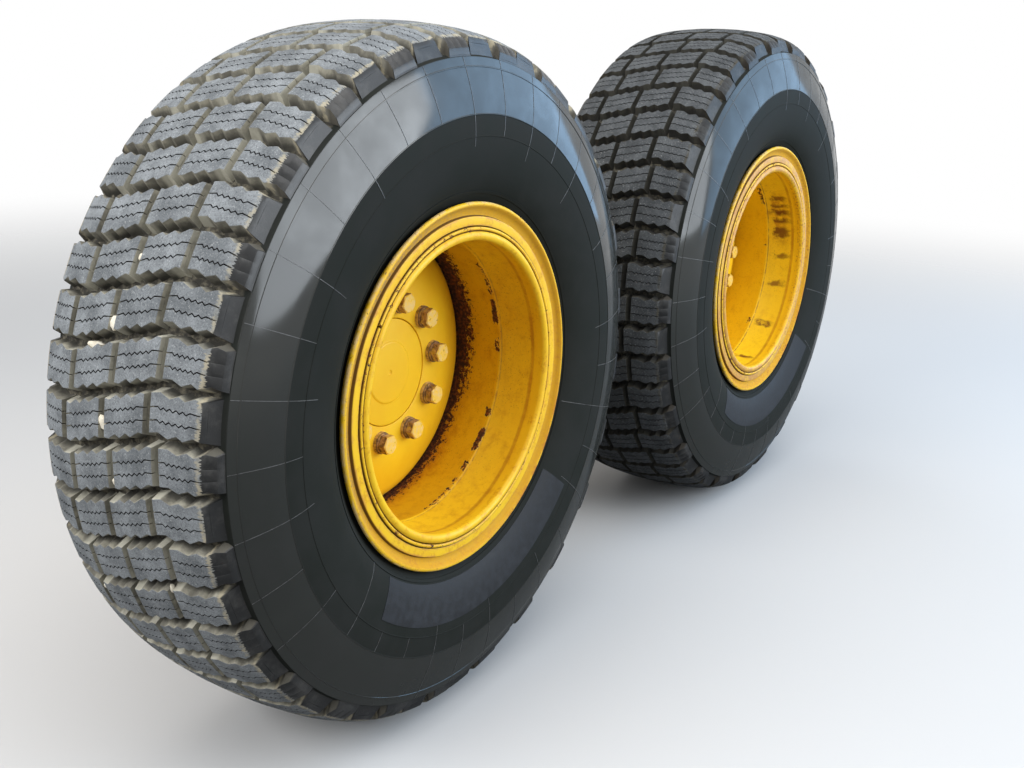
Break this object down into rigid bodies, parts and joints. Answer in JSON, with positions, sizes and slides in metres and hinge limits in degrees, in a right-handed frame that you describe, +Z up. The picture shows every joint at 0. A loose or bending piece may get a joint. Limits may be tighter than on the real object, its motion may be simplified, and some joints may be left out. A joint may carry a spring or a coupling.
{
  "type": "motor grader tandem with two wheels",
  "caption": "Left rear tandem of a motor grader: a boxed case that rocks on its bolted axle end and carries two tyred wheels in line.",
  "frame": {"origin": "centre of the bolted flange face of the axle end, on the axis about which the case rocks", "axes": "+X to the rear of the machine, +Y inboard towards the axle, +Z up"},
  "size_m": [2.872, 0.943, 1.352],
  "materials": {
    "yellow_rim": "yellow gloss paint with rust chips",
    "yellow_plate": "yellow gloss paint on welded plate",
    "yellow_casting": "yellow paint on castings",
    "grey_iron": "machined iron",
    "bare_steel": "plain steel",
    "nut_steel": "worn paint over brown steel",
    "brass": "dull brass",
    "tyre": "black rubber, glossy and matte bands"
  },
  "bodies": {
    "axle_end": {"final_drive_housing": "yellow_casting", "seal_plate": "grey_iron"},
    "tandem_case": {"case_shell": "yellow_plate", "pivot_ring": "yellow_casting", "centre_cover": "yellow_plate", "front_spindle_housing": "yellow_casting", "rear_spindle_housing": "yellow_casting", "front_inner_cap": "yellow_plate", "rear_inner_cap": "yellow_plate", "front_top_cover": "yellow_plate", "rear_top_cover": "yellow_plate", "filler_plug": "bare_steel", "breather": "bare_steel", "drain_plugs": "bare_steel"},
    "front_wheel": {"front_tyre": "tyre", "front_rim_base": "yellow_rim", "front_side_flange": "yellow_rim", "front_lock_ring": "yellow_rim", "front_wheel_disc": "yellow_rim", "front_hub": "yellow_casting", "front_wheel_nuts": "nut_steel", "front_valve": "brass"},
    "rear_wheel": {"rear_tyre": "tyre", "rear_rim_base": "yellow_rim", "rear_side_flange": "yellow_rim", "rear_lock_ring": "yellow_rim", "rear_wheel_disc": "yellow_rim", "rear_hub": "yellow_casting", "rear_wheel_nuts": "nut_steel", "rear_valve": "brass"}
  },
  "joints": [
    {"name": "tandem_rock", "type": "hinge", "parent": "axle_end", "child": "tandem_case", "pos_m": [0, 0, 0], "axis": [0, -1, 0], "range_deg": [-15, 15]},
    {"name": "front_wheel_spin", "type": "hinge", "parent": "tandem_case", "child": "front_wheel", "pos_m": [-0.76, -0.715, -0.05], "axis": [0, -1, 0], "continuous": true},
    {"name": "rear_wheel_spin", "type": "hinge", "parent": "tandem_case", "child": "rear_wheel", "pos_m": [0.76, -0.715, -0.05], "axis": [0, -1, 0], "continuous": true}
  ],
  "couplings": [
    {"joint": "rear_wheel_spin", "follows": "front_wheel_spin", "ratio": 1}
  ]
}
